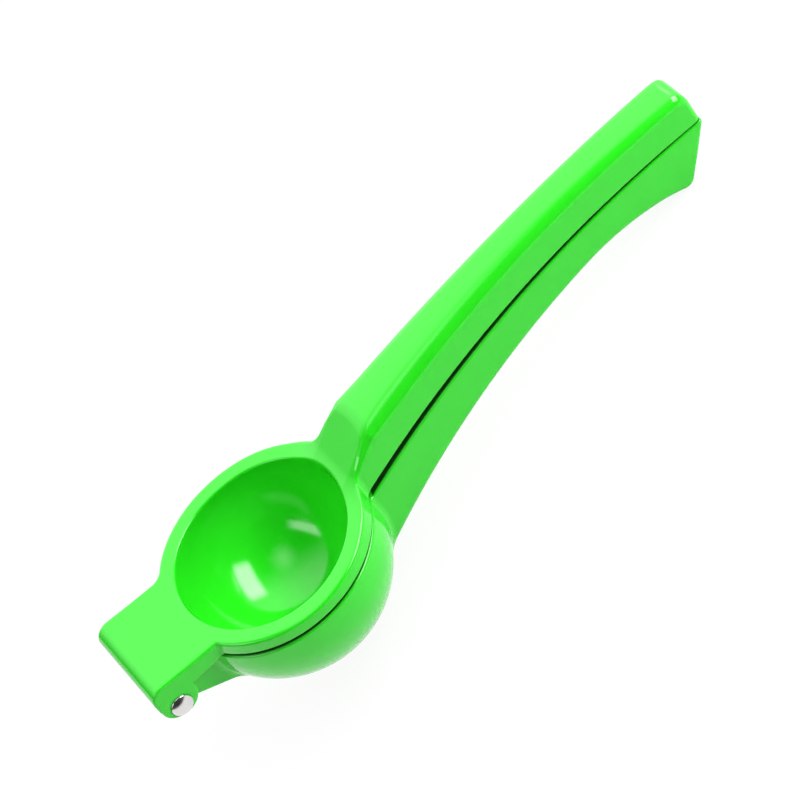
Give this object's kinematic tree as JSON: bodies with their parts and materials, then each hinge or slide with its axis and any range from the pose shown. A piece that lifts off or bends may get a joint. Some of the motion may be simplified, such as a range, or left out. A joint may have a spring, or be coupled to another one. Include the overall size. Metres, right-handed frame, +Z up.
{
  "type": "hand citrus squeezer",
  "caption": "Hinged hand citrus squeezer in green enamelled cast metal: a pressing cup folds into a drained strainer bowl, worked by a pair of long curved handles.",
  "frame": {"origin": "on the table, under the middle of the closed tool as it lies on its bowl and its handle's end", "axes": "+X along the handles, from hinge to tip; +Z up; +Y across the tool, along the hinge pin"},
  "size_m": [0.2176, 0.063, 0.0537],
  "materials": {
    "enamel": "glossy lime green enamel over cast aluminium",
    "pin_steel": "polished steel rivet"
  },
  "bodies": {
    "strainer": {"strainer_arm": "enamel"},
    "press": {"press_arm": "enamel", "hinge_pin": "pin_steel"}
  },
  "joints": [
    {"name": "squeeze_hinge", "type": "hinge", "parent": "strainer", "child": "press", "pos_m": [-0.10312, 0, 0.04387], "axis": [0, -1, 0], "range_deg": [0, 100]}
  ]
}
